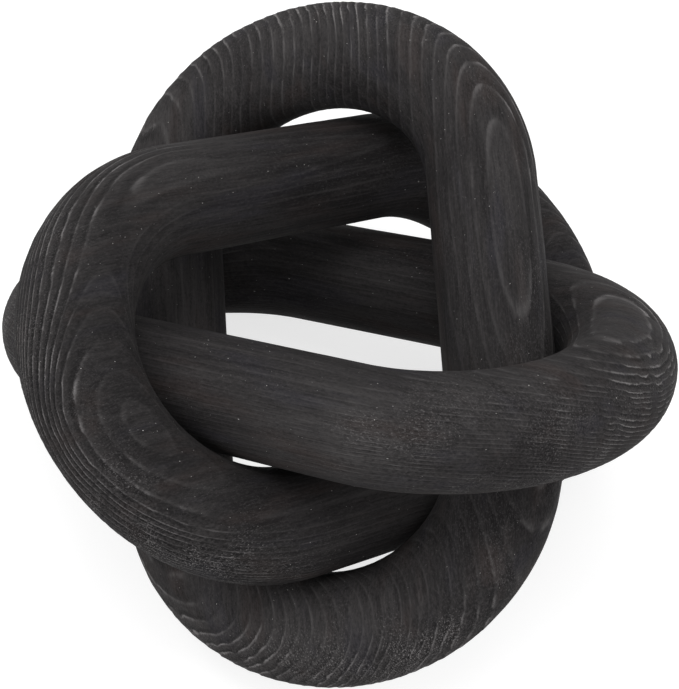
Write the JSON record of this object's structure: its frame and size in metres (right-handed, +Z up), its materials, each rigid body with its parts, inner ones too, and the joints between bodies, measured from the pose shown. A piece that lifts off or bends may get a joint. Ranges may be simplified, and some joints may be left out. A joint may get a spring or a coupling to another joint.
{
  "type": "wooden chain link sculpture",
  "caption": "Black-stained wooden table ornament: oval links of round bar, each threaded through the next, resting as a loose nest.",
  "frame": {"origin": "on the table, under the middle of the nest's box", "axes": "+Z up from the table; the picture looks at the nest from the -Y side, about 8 degrees round towards -X and about 51 degrees above the table"},
  "size_m": [0.1778, 0.1818, 0.1018],
  "materials": {
    "black_wood": "black-stained softwood, brushed so that the growth rings stand proud, matt",
    "pin_wood": "bare beech, fluted and glued, hidden inside the arms"
  },
  "bodies": {
    "left_link": {"left_link_high_half": "black_wood", "left_link_low_half": "black_wood", "left_link_upper_pin": "pin_wood", "left_link_lower_pin": "pin_wood"},
    "back_link": {"back_link_high_half": "black_wood", "back_link_low_half": "black_wood", "back_link_upper_pin": "pin_wood", "back_link_lower_pin": "pin_wood"},
    "right_link": {"right_link_high_half": "black_wood", "right_link_low_half": "black_wood", "right_link_upper_pin": "pin_wood", "right_link_lower_pin": "pin_wood"}
  },
  "joints": [
    {"name": "back_link_opening", "type": "hinge", "parent": "left_link", "child": "back_link", "pos_m": [0.0009, -0.0008, 0.0503], "axis": [0.342, -0.9397, 0], "range_deg": [0, 55]},
    {"name": "right_link_opening", "type": "hinge", "parent": "left_link", "child": "right_link", "pos_m": [0.0009, -0.0008, 0.0503], "axis": [-0.6428, -0.766, 0], "range_deg": [0, 55]}
  ],
  "couplings": [
    {"joint": "right_link_opening", "follows": "back_link_opening", "ratio": 1}
  ]
}
